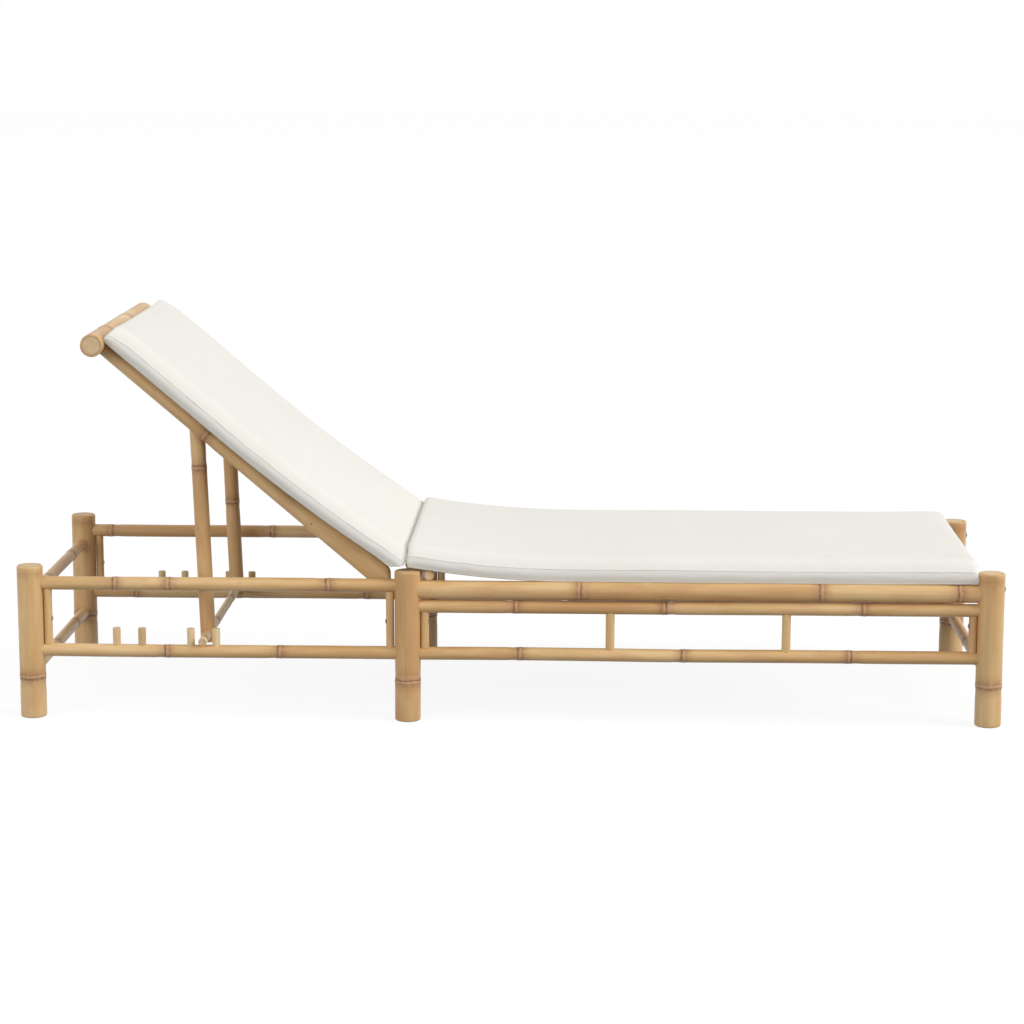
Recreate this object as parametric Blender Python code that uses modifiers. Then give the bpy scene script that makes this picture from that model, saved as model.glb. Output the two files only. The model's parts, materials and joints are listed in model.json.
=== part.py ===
"""Bamboo sun lounger with a raised back on a swinging prop, and two cream cushions.

Metres, +Z up. The head end is at -X and the foot end at +X. The near side is -Y.
The origin is on the floor, under the middle of the frame.
Run with: blender --background --python part.py
"""

import math

import bmesh
import bpy
from mathutils import Matrix, Vector

# Clearances
GAP = 0.0003
PIVOT_CLEARANCE = 0.0002

# Posts
POST_SPAN = 1.946
MID_POST_FROM_HEAD = 0.770
WIDTH_SPAN = 0.597
POST_RADIUS = 0.0265
END_POST_HEIGHT = 0.315
MID_POST_HEIGHT = 0.310
POST_NODE_HEIGHT = 0.082
MID_POST_NODE_HEIGHT = 0.087
SOCKET_DEPTH = 0.012

# Rings on the rails, as distances from the post that each rail starts at
TOP_RAIL_RINGS = (0.170, 0.288, 0.605)
SEAT_RAIL_RINGS = (0.353, 0.538, 0.831)
SECOND_RAIL_RINGS = (0.216, 0.525, 0.917)
SEAT_LOW_RAIL_RINGS = (0.224, 0.555, 0.898)
HEAD_UPPER_END_RAIL_RINGS = (0.1785, 0.4285)
HEAD_LOWER_END_RAIL_RINGS = (0.2485, 0.4585)
MID_CROSS_RAIL_RINGS = (0.3585,)
FOOT_UPPER_END_RAIL_RINGS = (0.2085, 0.4385)
FOOT_LOWER_END_RAIL_RINGS = (0.3185,)

# Long rails, which run along X
TOP_RAIL_HEIGHT = 0.2785
TOP_RAIL_RADIUS = 0.0138
LOW_RAIL_HEIGHT = 0.139
LOW_RAIL_RADIUS = 0.0135
SEAT_RAIL_HEIGHT = 0.2715
SEAT_RAIL_RADIUS = 0.0185
SECOND_RAIL_HEIGHT = 0.237
SECOND_RAIL_RADIUS = 0.0133

# Cross rails, which run along Y
END_RAIL_RADIUS = 0.0118
HEAD_UPPER_END_RAIL_HEIGHT = 0.251
HEAD_LOWER_END_RAIL_HEIGHT = 0.0935
FOOT_UPPER_END_RAIL_HEIGHT = 0.260
FOOT_LOWER_END_RAIL_HEIGHT = 0.100
MID_CROSS_RAIL_HEIGHT = 0.236

# Upright pieces between the rails
STRUT_RADIUS = 0.0085
SPINDLE_RADIUS = 0.009
SPINDLE_FROM_MID_POST = 0.4116
SPINDLE_FROM_FOOT_POST = 0.4093

# Pegs that hold the foot of the prop, in pairs on the low rails
PEG_RADIUS = 0.008
PEG_TOP = 0.1865
PEG_SPACING = 0.0519
SPARE_NOTCH_FROM_HEAD = 0.2011
USED_NOTCH_FROM_HEAD = 0.3531
PEG_HOLE_DEPTH = 0.012

# Seat slats under the seat cushion
SLAT_RADIUS = 0.0085
SEAT_SLAT_COUNT = 4
FIRST_SEAT_SLAT_FROM_MID_POST = 0.288
LAST_SEAT_SLAT_FROM_FOOT_POST = 0.183
SEAT_HEAD_SLAT_RADIUS = 0.0100
SEAT_HEAD_SLAT_FROM_POST = 0.018
SEAT_HEAD_SLAT_OVERHANG = 0.0035

# Back frame, which turns on two bolts near the middle posts
BACK_ANGLE = math.radians(40.5)
HINGE_FROM_MID = 0.057
BACK_RAIL_RADIUS = 0.0135
BACK_RAIL_TAIL = 0.020
BACK_RAIL_SIDE_CLEARANCE = 0.0092
BACK_RAIL_RINGS = (0.170, 0.479, 0.700)
HEAD_BAR_DISTANCE = 0.752
HEAD_BAR_RADIUS = 0.023
HEAD_BAR_LENGTH = 0.650
HEAD_BAR_SOCKET = 0.010
HEAD_BAR_RINGS = (0.160, 0.470)
LOW_BACK_SLAT_FROM_HINGE = 0.185
MIDDLE_BACK_SLAT_FROM_HINGE = 0.340
HIGH_BACK_SLAT_FROM_HINGE = 0.640
SLAT_STEP = 0.0045
HINGE_BOLT_RADIUS = 0.004
HINGE_BOLT_HEAD_RADIUS = 0.008
HINGE_BOLT_HEAD_THICKNESS = 0.004
HINGE_BOLT_BITE = 0.018

# Prop frame, which hangs from a bar between the back rails
PROP_BAR_DISTANCE = 0.4934
PROP_BAR_RADIUS = 0.0125
PROP_SPIGOT_RADIUS = 0.0065
PROP_SPIGOT_LENGTH = 0.010
PROP_RADIUS = 0.0130
PROP_LEG_RING = 0.395
PROP_LEG_SIDE_CLEARANCE = 0.0035
PROP_FOOT_BAR_RADIUS = 0.0085
PROP_FOOT_BAR_OVERHANG = 0.0175
PROP_FOOT_LAP = 0.008

# Cushions
CUSHION_OVERHANG = 0.0115
CUSHION_EDGE_THICKNESS = 0.028
CUSHION_DRAW_IN = 0.005
CUSHION_EDGE_ROUND = 0.010
CUSHION_HEAD_GAP = 0.0015
SEAT_CUSHION_CROWN = 0.013
SEAT_CUSHION_REST = 0.0010
SEAT_CUSHION_BEND = 0.500
SEAT_CUSHION_OVERHANG = 0.0010
BACK_CUSHION_START = 0.030
BACK_CUSHION_CROWN = 0.017
BACK_CUSHION_RISE = 0.029
BACK_CUSHION_BEND = 0.190
BACK_CUSHION_TOP_LAP = 0.010

# Bamboo nodes stand this far proud, over this length
NODE_RIDGE = 0.0009
NODE_HALF_WIDTH = 0.004

POST_SIDES = 16
RAIL_SIDES = 12
SMALL_SIDES = 10

# The cushions' cages, and how square their crowns and how sharp their corners are
SEAT_CUSHION_COLUMNS = 14
BACK_CUSHION_COLUMNS = 12
CUSHION_ROWS = 6
CROWN_POWER = 4
CORNER_POWER = 9

# Places worked out from the sizes above
HEAD_X = -POST_SPAN / 2
FOOT_X = POST_SPAN / 2
MID_X = HEAD_X + MID_POST_FROM_HEAD
SIDE_Y = WIDTH_SPAN / 2
BACK_Y = SIDE_Y - TOP_RAIL_RADIUS - BACK_RAIL_SIDE_CLEARANCE - BACK_RAIL_RADIUS
PROP_Y = BACK_Y - BACK_RAIL_RADIUS - PROP_LEG_SIDE_CLEARANCE - PROP_RADIUS
SPARE_NOTCH_X = HEAD_X + SPARE_NOTCH_FROM_HEAD
USED_NOTCH_X = HEAD_X + USED_NOTCH_FROM_HEAD
SEAT_RAIL_TOP = SEAT_RAIL_HEIGHT + SEAT_RAIL_RADIUS
SEAT_HEAD_SLAT_HEIGHT = SEAT_RAIL_TOP + GAP + SEAT_HEAD_SLAT_RADIUS
SIDES = (("near", -1), ("far", 1))
HINGE = Vector((MID_X - HINGE_FROM_MID, 0, TOP_RAIL_HEIGHT))
UP_BACK = Vector((-math.cos(BACK_ANGLE), 0, math.sin(BACK_ANGLE)))
OUT_OF_BACK = Vector((math.sin(BACK_ANGLE), 0, math.cos(BACK_ANGLE)))


def clear_scene():
    for obj in list(bpy.data.objects):
        bpy.data.objects.remove(obj, do_unlink=True)


def collection(name):
    made = bpy.data.collections.new(name)
    bpy.context.scene.collection.children.link(made)
    return made


def material(name, colour, roughness, metallic=0.0):
    made = bpy.data.materials.new(name)
    made.use_nodes = True
    shader = made.node_tree.nodes["Principled BSDF"]
    shader.inputs["Base Color"].default_value = (*colour, 1.0)
    shader.inputs["Roughness"].default_value = roughness
    shader.inputs["Metallic"].default_value = metallic
    return made


def ridged_profile(length, radius, nodes):
    """Radius and height down the outer side of a culm, with a ridge at each node."""
    points = [(0.0, length), (radius, length)]
    for height in sorted(nodes, reverse=True):
        points.append((radius, height + NODE_HALF_WIDTH))
        points.append((radius + NODE_RIDGE, height))
        points.append((radius, height - NODE_HALF_WIDTH))
    return points + [(radius, 0.0), (0.0, 0.0)]


def turned(name, start, end, profile, sides, finish, group):
    """A turned solid whose profile runs from end down to start."""
    mesh = bpy.data.meshes.new(name)
    edges = [(i, i + 1) for i in range(len(profile) - 1)]
    mesh.from_pydata([(r, 0.0, h) for r, h in profile], edges, [])
    obj = bpy.data.objects.new(name, mesh)
    group.objects.link(obj)
    screw = obj.modifiers.new("Turn", "SCREW")
    screw.steps = sides
    screw.render_steps = sides
    screw.use_merge_vertices = True
    screw.merge_threshold = 0.00005
    screw.use_smooth_shade = True
    obj.location = start
    obj.rotation_mode = "QUATERNION"
    obj.rotation_quaternion = (end - start).to_track_quat("Z", "Y")
    if finish:
        mesh.materials.append(finish)
    return obj


def culm(name, start, end, radius, finish, nodes=(), sides=RAIL_SIDES):
    """A bamboo culm; nodes are distances from its start."""
    profile = ridged_profile((end - start).length, radius, nodes)
    return turned(name, start, end, profile, sides, finish, PARTS)


def cutter(name, start, end, radius, sides=RAIL_SIDES, clearance=GAP):
    """A plain round cutter, larger than the piece that fits in it by the clearance."""
    along = (end - start).normalized() * GAP
    wide = radius + clearance / math.cos(math.pi / sides)
    length = (end + along - start + along).length
    profile = [(0.0, length), (wide, length), (wide, 0.0), (0.0, 0.0)]
    obj = turned(name, start - along, end + along, profile, sides, None, CUTTERS)
    obj.hide_render = True
    obj.display_type = "WIRE"
    return obj


def cut(obj, tool):
    """Cuts a tool out of an object."""
    change = obj.modifiers.new(tool.name, "BOOLEAN")
    change.operation = "DIFFERENCE"
    change.solver = "EXACT"
    change.object = tool


def make_posts():
    """Six posts, each with a ring near its foot."""
    posts = {}
    places = (
        ("head", HEAD_X, END_POST_HEIGHT, POST_NODE_HEIGHT),
        ("mid", MID_X, MID_POST_HEIGHT, MID_POST_NODE_HEIGHT),
        ("foot", FOOT_X, END_POST_HEIGHT, POST_NODE_HEIGHT),
    )
    for place, x, height, node in places:
        for side, sign in SIDES:
            start = Vector((x, sign * SIDE_Y, 0))
            posts[place, side] = culm(
                f"{place}_post_{side}",
                start,
                start + Vector((0, 0, height)),
                POST_RADIUS,
                BAMBOO,
                [node],
                POST_SIDES,
            )
    return posts


def make_long_rail(name, ends, height, radius, rings, posts):
    """A rail along X on each side, let into the two posts that it joins."""
    rails = {}
    for side, sign in SIDES:
        reach = POST_RADIUS - SOCKET_DEPTH
        xs = {"head": HEAD_X, "mid": MID_X, "foot": FOOT_X}
        y = sign * SIDE_Y
        start = Vector((xs[ends[0]] + reach, y, height))
        end = Vector((xs[ends[1]] - reach, y, height))
        along = [ring - reach for ring in rings]
        rail = culm(f"{name}_{side}", start, end, radius, BAMBOO, along)
        socket = cutter(f"{name}_{side}_socket", start, end, radius)
        for place in ends:
            cut(posts[place, side], socket)
        rails[side] = (rail, socket)
    return rails


def make_cross_rail(name, place, height, rings, posts):
    """A rail along Y, let into the near and the far post."""
    x = {"head": HEAD_X, "mid": MID_X, "foot": FOOT_X}[place]
    reach = SIDE_Y - POST_RADIUS + SOCKET_DEPTH
    start = Vector((x, -reach, height))
    end = Vector((x, reach, height))
    along = [ring + reach - SIDE_Y for ring in rings]
    rail = culm(name, start, end, END_RAIL_RADIUS, BAMBOO, along)
    socket = cutter(f"{name}_socket", start, end, END_RAIL_RADIUS)
    for side, _ in SIDES:
        cut(posts[place, side], socket)
    return rail


def make_upright(name, x, y, radius, below, above):
    """An upright whose ends are saddled over the rails below and above it."""
    low_height, low_socket = below
    top_height, top_socket = above
    start = Vector((x, y, low_height + radius))
    end = Vector((x, y, top_height - radius))
    upright = culm(name, start, end, radius, BAMBOO, (), SMALL_SIDES)
    cut(upright, low_socket)
    cut(upright, top_socket)
    return upright


def make_struts(rails):
    """Short uprights that stand against the posts, between the rails."""
    beside = POST_RADIUS + STRUT_RADIUS + GAP
    places = (
        ("head_strut", HEAD_X + beside, "head_top_rail", "head_low_rail"),
        ("mid_head_strut", MID_X - beside, "head_top_rail", "head_low_rail"),
        ("mid_foot_strut", MID_X + beside, "seat_second_rail", "seat_low_rail"),
        ("foot_strut", FOOT_X - beside, "seat_second_rail", "seat_low_rail"),
    )
    heights = {
        "head_top_rail": TOP_RAIL_HEIGHT,
        "head_low_rail": LOW_RAIL_HEIGHT,
        "seat_second_rail": SECOND_RAIL_HEIGHT,
        "seat_low_rail": LOW_RAIL_HEIGHT,
    }
    for name, x, top, low in places:
        for side, sign in SIDES:
            below = (heights[low], rails[low][side][1])
            above = (heights[top], rails[top][side][1])
            make_upright(f"{name}_{side}", x, sign * SIDE_Y, STRUT_RADIUS, below, above)


def make_spindles(rails):
    """Two spindles on each side, under the seat's second rail."""
    places = (MID_X + SPINDLE_FROM_MID_POST, FOOT_X - SPINDLE_FROM_FOOT_POST)
    for number, x in enumerate(places, 1):
        for side, sign in SIDES:
            below = (LOW_RAIL_HEIGHT, rails["seat_low_rail"][side][1])
            above = (SECOND_RAIL_HEIGHT, rails["seat_second_rail"][side][1])
            name = f"spindle_{number}_{side}"
            make_upright(name, x, sign * SIDE_Y, SPINDLE_RADIUS, below, above)


def make_pegs(rails):
    """Pegs on both sides of each notch, each in its own hole in the low rail."""
    notches = (SPARE_NOTCH_X, USED_NOTCH_X)
    places = [x + s * PEG_SPACING / 2 for x in notches for s in (-1, 1)]
    foot = LOW_RAIL_HEIGHT + LOW_RAIL_RADIUS - PEG_HOLE_DEPTH
    for number, x in enumerate(places, 1):
        for side, sign in SIDES:
            start = Vector((x, sign * SIDE_Y, foot))
            end = Vector((x, sign * SIDE_Y, PEG_TOP))
            name = f"peg_{number}_{side}"
            culm(name, start, end, PEG_RADIUS, PALE_BAMBOO, (), SMALL_SIDES)
            hole = cutter(f"{name}_hole", start, end, PEG_RADIUS, SMALL_SIDES)
            cut(rails["head_low_rail"][side][0], hole)


def make_seat_slats(rails):
    """Round slats level with the tops of the seat rails, and one that lies on them at the head."""
    head_x = MID_X + POST_RADIUS + SEAT_HEAD_SLAT_FROM_POST
    half = SIDE_Y + SEAT_HEAD_SLAT_OVERHANG
    head_start = Vector((head_x, -half, SEAT_HEAD_SLAT_HEIGHT))
    head_end = Vector((head_x, half, SEAT_HEAD_SLAT_HEIGHT))
    culm("seat_head_slat", head_start, head_end, SEAT_HEAD_SLAT_RADIUS, BAMBOO, (), SMALL_SIDES)
    height = SEAT_RAIL_TOP - SLAT_RADIUS
    first_x = MID_X + FIRST_SEAT_SLAT_FROM_MID_POST
    last_x = FOOT_X - LAST_SEAT_SLAT_FROM_FOOT_POST
    for number in range(1, SEAT_SLAT_COUNT + 1):
        x = first_x + (last_x - first_x) * (number - 1) / (SEAT_SLAT_COUNT - 1)
        start = Vector((x, -SIDE_Y, height))
        end = Vector((x, SIDE_Y, height))
        inset = Vector((0, SEAT_RAIL_RADIUS / 2, 0))
        slat = culm(
            f"seat_slat_{number}",
            start + inset,
            end - inset,
            SLAT_RADIUS,
            BAMBOO,
            (),
            SMALL_SIDES,
        )
        for side, _ in SIDES:
            cut(slat, rails["seat_rail"][side][1])


def on_back(distance, y, out=0.0):
    """A point of the back frame, by its distance up the rails from the hinge."""
    return HINGE + UP_BACK * distance + OUT_OF_BACK * out + Vector((0, y, 0))


def make_back_frame():
    """Two long rails, let into the head bar, with slats between them."""
    half_bar = HEAD_BAR_LENGTH / 2
    bar_start = on_back(HEAD_BAR_DISTANCE, -half_bar)
    bar_end = on_back(HEAD_BAR_DISTANCE, half_bar)
    head_bar = culm("head_bar", bar_start, bar_end, HEAD_BAR_RADIUS, BAMBOO, HEAD_BAR_RINGS, POST_SIDES)
    rails = {}
    for side, sign in SIDES:
        start = on_back(-BACK_RAIL_TAIL, sign * BACK_Y)
        end = on_back(HEAD_BAR_DISTANCE - HEAD_BAR_RADIUS + HEAD_BAR_SOCKET, sign * BACK_Y)
        rail = culm(f"back_rail_{side}", start, end, BACK_RAIL_RADIUS, BAMBOO, BACK_RAIL_RINGS)
        socket = cutter(f"back_rail_{side}_socket", start, end, BACK_RAIL_RADIUS)
        cut(head_bar, socket)
        rails[side] = (rail, socket)
    out = BACK_RAIL_RADIUS + SLAT_STEP - SLAT_RADIUS
    distances = (LOW_BACK_SLAT_FROM_HINGE, MIDDLE_BACK_SLAT_FROM_HINGE, HIGH_BACK_SLAT_FROM_HINGE)
    for number, distance in enumerate(distances, 1):
        slat = culm(
            f"back_slat_{number}",
            on_back(distance, -BACK_Y, out),
            on_back(distance, BACK_Y, out),
            SLAT_RADIUS,
            BAMBOO,
            (),
            SMALL_SIDES,
        )
        for side, _ in SIDES:
            cut(slat, rails[side][1])
    return rails


def make_hinge_bolts(top_rails, back_rails):
    """A bolt on each side, from inside the back rail into a blind hole in the top rail."""
    for side, sign in SIDES:
        seat = BACK_Y - BACK_RAIL_RADIUS - GAP
        tip = SIDE_Y - TOP_RAIL_RADIUS + HINGE_BOLT_BITE
        shank = tip - seat
        neck = HINGE_BOLT_HEAD_THICKNESS
        profile = [
            (0.0, shank + neck),
            (HINGE_BOLT_HEAD_RADIUS * 0.6, shank + neck),
            (HINGE_BOLT_HEAD_RADIUS, shank + neck * 0.4),
            (HINGE_BOLT_HEAD_RADIUS, shank),
            (HINGE_BOLT_RADIUS, shank),
            (HINGE_BOLT_RADIUS, 0.0),
            (0.0, 0.0),
        ]
        start = HINGE + Vector((0, sign * tip, 0))
        middle = HINGE + Vector((0, sign * (BACK_Y + BACK_RAIL_RADIUS), 0))
        end = HINGE + Vector((0, sign * (seat - neck), 0))
        turned(f"hinge_bolt_{side}", start, end, profile, RAIL_SIDES, STEEL, PARTS)
        blind = cutter(f"hinge_bolt_{side}_blind_hole", start, middle, HINGE_BOLT_RADIUS)
        through = cutter(
            f"hinge_bolt_{side}_hole",
            middle,
            end,
            HINGE_BOLT_RADIUS,
            RAIL_SIDES,
            PIVOT_CLEARANCE + GAP,
        )
        cut(top_rails[side][0], blind)
        cut(back_rails[side][0], through)


def make_prop(back_rails):
    """The bar that turns in the back rails, two prop legs, and the bar at their foot."""
    bar_centre = on_back(PROP_BAR_DISTANCE, 0)
    half_body = BACK_Y - BACK_RAIL_RADIUS - GAP
    half_bar = half_body + PROP_SPIGOT_LENGTH
    profile = [
        (0.0, 2 * half_bar),
        (PROP_SPIGOT_RADIUS, 2 * half_bar),
        (PROP_SPIGOT_RADIUS, half_bar + half_body),
        (PROP_BAR_RADIUS, half_bar + half_body),
        (PROP_BAR_RADIUS, half_bar - half_body),
        (PROP_SPIGOT_RADIUS, half_bar - half_body),
        (PROP_SPIGOT_RADIUS, 0.0),
        (0.0, 0.0),
    ]
    start = bar_centre - Vector((0, half_bar, 0))
    end = bar_centre + Vector((0, half_bar, 0))
    turned("prop_pivot_bar", start, end, profile, RAIL_SIDES, BAMBOO, PARTS)
    hole = cutter("prop_spigot_hole", start, end, PROP_SPIGOT_RADIUS, RAIL_SIDES, PIVOT_CLEARANCE + GAP)
    for side, _ in SIDES:
        cut(back_rails[side][0], hole)

    foot_height = LOW_RAIL_HEIGHT + LOW_RAIL_RADIUS + GAP + PROP_FOOT_BAR_RADIUS
    foot_centre = Vector((USED_NOTCH_X, 0, foot_height))
    half_foot = Vector((0, SIDE_Y + PROP_FOOT_BAR_OVERHANG, 0))
    culm(
        "prop_foot_bar",
        foot_centre - half_foot,
        foot_centre + half_foot,
        PROP_FOOT_BAR_RADIUS,
        PALE_BAMBOO,
        (),
        RAIL_SIDES,
    )
    foot_hole = cutter(
        "prop_foot_bar_hole",
        foot_centre - half_foot,
        foot_centre + half_foot,
        PROP_FOOT_BAR_RADIUS,
    )
    bar_hole = cutter("prop_pivot_bar_saddle", start, end, PROP_BAR_RADIUS)
    rise = (bar_centre - foot_centre).normalized()
    for side, sign in SIDES:
        y = Vector((0, sign * PROP_Y, 0))
        low = foot_centre + y - rise * (PROP_FOOT_BAR_RADIUS + PROP_FOOT_LAP)
        top = bar_centre + y - rise * (PROP_BAR_RADIUS * 0.6)
        leg = culm(f"prop_leg_{side}", low, top, PROP_RADIUS, BAMBOO, (PROP_LEG_RING,))
        cut(leg, foot_hole)
        cut(leg, bar_hole)


def grid_line(unit, count, low, high):
    """Where a grid line lies: the lines beside each edge are drawn up to it."""
    step = round((unit + 1) / 2 * count)
    if step == 0:
        return low
    if step == count:
        return high
    inner = high - low - 2 * CUSHION_EDGE_ROUND
    return low + CUSHION_EDGE_ROUND + inner * (step - 1) / (count - 2)


def pad(name, length, low_edge, crown, columns):
    """A cushion from a coarse cage: a grid drawn up to its thickness, then shaped by formula."""
    mesh = bpy.data.meshes.new(name)
    cage = bmesh.new()
    bmesh.ops.create_grid(cage, x_segments=columns, y_segments=CUSHION_ROWS, size=1.0)
    drawn = bmesh.ops.extrude_face_region(cage, geom=cage.faces[:])
    upper = {v for v in drawn["geom"] if isinstance(v, bmesh.types.BMVert)}
    half = SIDE_Y + CUSHION_OVERHANG
    for vert in cage.verts:
        along = grid_line(vert.co.x, columns, 0.0, length)
        across = grid_line(vert.co.y, CUSHION_ROWS, -half, half)
        u = 2 * along / length - 1
        v = across / half
        height = low_edge(along)
        if vert in upper:
            swell = (1 - u ** CROWN_POWER) * (1 - v ** CROWN_POWER)
            height += CUSHION_EDGE_THICKNESS + crown * swell
        across += CUSHION_DRAW_IN * (u ** 2 - 1) * v ** CORNER_POWER
        vert.co = (along, across, height)
    bmesh.ops.recalc_face_normals(cage, faces=cage.faces[:])
    cage.to_mesh(mesh)
    cage.free()
    mesh.materials.append(FABRIC)
    mesh.shade_smooth()
    obj = bpy.data.objects.new(name, mesh)
    PARTS.objects.link(obj)
    soften = obj.modifiers.new("Soften", "SUBSURF")
    soften.levels = 1
    soften.render_levels = 1
    return obj


def cosine_rise(distance, bend, rise):
    """A smooth rise that is whole at 0 and gone at the end of the bend."""
    if distance >= bend:
        return 0.0
    return rise * (1 + math.cos(math.pi * distance / bend)) / 2


def make_cushions():
    """The seat cushion bends up over the middle posts, and the back cushion leans on the back."""
    seat_start = MID_X + CUSHION_HEAD_GAP
    seat_length = FOOT_X - POST_RADIUS - SEAT_CUSHION_OVERHANG - seat_start
    seat_low = SEAT_RAIL_TOP + GAP
    head_support = max(MID_POST_HEIGHT, SEAT_HEAD_SLAT_HEIGHT + SEAT_HEAD_SLAT_RADIUS)
    seat_rise = head_support + SEAT_CUSHION_REST - seat_low

    def seat_edge(along):
        return cosine_rise(along, SEAT_CUSHION_BEND, seat_rise)

    seat = pad("seat_cushion", seat_length, seat_edge, SEAT_CUSHION_CROWN, SEAT_CUSHION_COLUMNS)
    seat.location = (seat_start, 0, seat_low)

    back_end = HEAD_BAR_DISTANCE - HEAD_BAR_RADIUS + BACK_CUSHION_TOP_LAP
    back_length = back_end - BACK_CUSHION_START

    def back_edge(along):
        return cosine_rise(along + BACK_CUSHION_START, BACK_CUSHION_BEND, BACK_CUSHION_RISE)

    back = pad("back_cushion", back_length, back_edge, BACK_CUSHION_CROWN, BACK_CUSHION_COLUMNS)
    back.location = on_back(BACK_CUSHION_START, 0, BACK_RAIL_RADIUS + SLAT_STEP + GAP)
    turn = Matrix((UP_BACK, Vector((0, -1, 0)), OUT_OF_BACK)).transposed()
    back.rotation_mode = "QUATERNION"
    back.rotation_quaternion = turn.to_quaternion()


def hang_on(name, place, prefixes):
    """Hangs pieces on an empty at their joint's axis, where they are."""
    pivot = bpy.data.objects.new(name, None)
    PARTS.objects.link(pivot)
    pivot.location = place
    for obj in PARTS.objects[:] + CUTTERS.objects[:]:
        if obj.type == "MESH" and obj.name.startswith(prefixes):
            obj.parent = pivot
            obj.matrix_parent_inverse = Matrix.Translation(-place)


def main():
    """Builds the lounger; the head low rails have no rings, so that the prop's foot bar lies on them."""
    posts = make_posts()
    rails = {}
    long_rails = (
        ("head_top_rail", ("head", "mid"), TOP_RAIL_HEIGHT, TOP_RAIL_RADIUS, TOP_RAIL_RINGS),
        ("head_low_rail", ("head", "mid"), LOW_RAIL_HEIGHT, LOW_RAIL_RADIUS, ()),
        ("seat_rail", ("mid", "foot"), SEAT_RAIL_HEIGHT, SEAT_RAIL_RADIUS, SEAT_RAIL_RINGS),
        ("seat_second_rail", ("mid", "foot"), SECOND_RAIL_HEIGHT, SECOND_RAIL_RADIUS, SECOND_RAIL_RINGS),
        ("seat_low_rail", ("mid", "foot"), LOW_RAIL_HEIGHT, LOW_RAIL_RADIUS, SEAT_LOW_RAIL_RINGS),
    )
    for name, ends, height, radius, rings in long_rails:
        rails[name] = make_long_rail(name, ends, height, radius, rings, posts)
    cross_rails = (
        ("head_upper_end_rail", "head", HEAD_UPPER_END_RAIL_HEIGHT, HEAD_UPPER_END_RAIL_RINGS),
        ("head_lower_end_rail", "head", HEAD_LOWER_END_RAIL_HEIGHT, HEAD_LOWER_END_RAIL_RINGS),
        ("mid_cross_rail", "mid", MID_CROSS_RAIL_HEIGHT, MID_CROSS_RAIL_RINGS),
        ("foot_upper_end_rail", "foot", FOOT_UPPER_END_RAIL_HEIGHT, FOOT_UPPER_END_RAIL_RINGS),
        ("foot_lower_end_rail", "foot", FOOT_LOWER_END_RAIL_HEIGHT, FOOT_LOWER_END_RAIL_RINGS),
    )
    for name, place, height, rings in cross_rails:
        make_cross_rail(name, place, height, rings, posts)
    make_struts(rails)
    make_spindles(rails)
    make_pegs(rails)
    make_seat_slats(rails)
    back_rails = make_back_frame()
    make_hinge_bolts(rails["head_top_rail"], back_rails)
    make_prop(back_rails)
    make_cushions()
    hang_on("back_hinge", HINGE, ("back_", "head_bar"))
    hang_on("prop_pivot", on_back(PROP_BAR_DISTANCE, 0), "prop_")


clear_scene()
PARTS = collection("Sun lounger")
CUTTERS = collection("Cutters")
BAMBOO = material("bamboo", (0.70, 0.48, 0.25), 0.42)
PALE_BAMBOO = material("pale bamboo", (0.66, 0.50, 0.28), 0.55)
STEEL = material("steel", (0.45, 0.44, 0.42), 0.35, 1.0)
FABRIC = material("cream fabric", (0.86, 0.84, 0.77), 0.9)
main()
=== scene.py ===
"""The looks of a bamboo sun lounger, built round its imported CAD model.

Metres, +Z up. The head end is at -X, the foot end at +X, and the camera looks along +Y.
"""

import json
import math

import bpy
from mathutils import Matrix, Vector, noise


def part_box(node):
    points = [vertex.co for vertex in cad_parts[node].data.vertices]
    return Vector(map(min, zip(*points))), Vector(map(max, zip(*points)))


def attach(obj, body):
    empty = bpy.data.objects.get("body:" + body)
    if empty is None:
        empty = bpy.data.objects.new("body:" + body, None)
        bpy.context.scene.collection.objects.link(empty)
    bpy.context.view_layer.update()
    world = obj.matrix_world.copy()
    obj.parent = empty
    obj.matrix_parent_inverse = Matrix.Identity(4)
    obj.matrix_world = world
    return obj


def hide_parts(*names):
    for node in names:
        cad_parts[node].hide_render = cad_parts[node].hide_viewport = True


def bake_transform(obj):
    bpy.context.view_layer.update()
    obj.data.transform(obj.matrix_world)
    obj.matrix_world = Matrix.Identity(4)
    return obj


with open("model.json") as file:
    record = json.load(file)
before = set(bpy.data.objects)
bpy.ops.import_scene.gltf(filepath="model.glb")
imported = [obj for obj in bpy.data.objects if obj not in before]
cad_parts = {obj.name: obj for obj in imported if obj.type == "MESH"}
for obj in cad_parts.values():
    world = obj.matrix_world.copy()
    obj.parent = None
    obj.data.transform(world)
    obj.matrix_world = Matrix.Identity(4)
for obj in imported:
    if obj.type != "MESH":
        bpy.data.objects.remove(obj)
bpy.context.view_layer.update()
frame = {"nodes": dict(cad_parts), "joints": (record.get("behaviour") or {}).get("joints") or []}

SIDES = ("near", "far")
JOINTS = {joint["name"]: joint for joint in frame["joints"]}
HINGE = Vector(JOINTS["back_recline"]["pos_m"])
PROP_PIVOT = Vector(JOINTS["prop_swing"]["pos_m"])

# The photograph's camera, solved from the six posts
PHOTO_SIZE = 1024
CAMERA_PLACE = (0.1761, -5.7891, 1.3967)
CAMERA_YAW = 0.04234
CAMERA_PITCH = 0.17515
CAMERA_FOCAL_PIXELS = 2769.7
CAMERA_SHIFT_PIXELS = (32.5, 3.5)
CAMERA_CLIP_END = 100
SENSOR_WIDTH = 36.0

# A node of a culm: height, place past the ring and width of its scar, ridge, groove and waist
NODE_OUTLINE = (
    (0.0004, 0.0, 0.0010),
    (0.0007, 0.0052, 0.0036),
    (-0.0005, 0.0019, 0.0009),
    (-0.0006, -0.0100, 0.0080),
)
RING_WAVER = 0.0011
WAVER_SPREAD = (1.4, 2.3, 5.1)

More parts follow.
